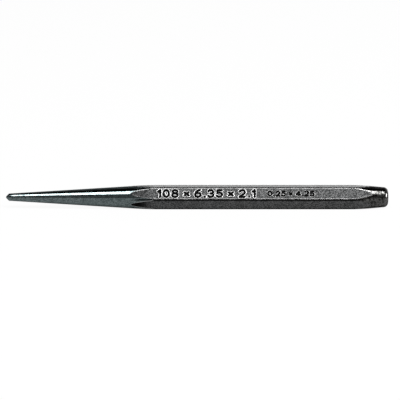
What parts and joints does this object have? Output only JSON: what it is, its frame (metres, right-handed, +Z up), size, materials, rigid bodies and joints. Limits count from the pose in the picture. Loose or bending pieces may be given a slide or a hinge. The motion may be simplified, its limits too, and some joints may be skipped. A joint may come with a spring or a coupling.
{
  "type": "center punch",
  "caption": "Solid steel center punch: hexagonal shank with a long ground taper, a conical point and a crowned striking head with a rounded edge.",
  "frame": {"origin": "on the supporting surface, under the middle of the punch's length, with the punch lying on one of its flats", "axes": "+X along the punch from its point towards its striking head, +Z up, square to the flat that it rests on"},
  "size_m": [0.108, 0.0072, 0.0063],
  "materials": {
    "black_oxide_steel": "black oxide over hardened tool steel, satin on the flats and brighter where ground and turned"
  },
  "bodies": {
    "root": {"center_punch": "black_oxide_steel"}
  },
  "joints": []
}
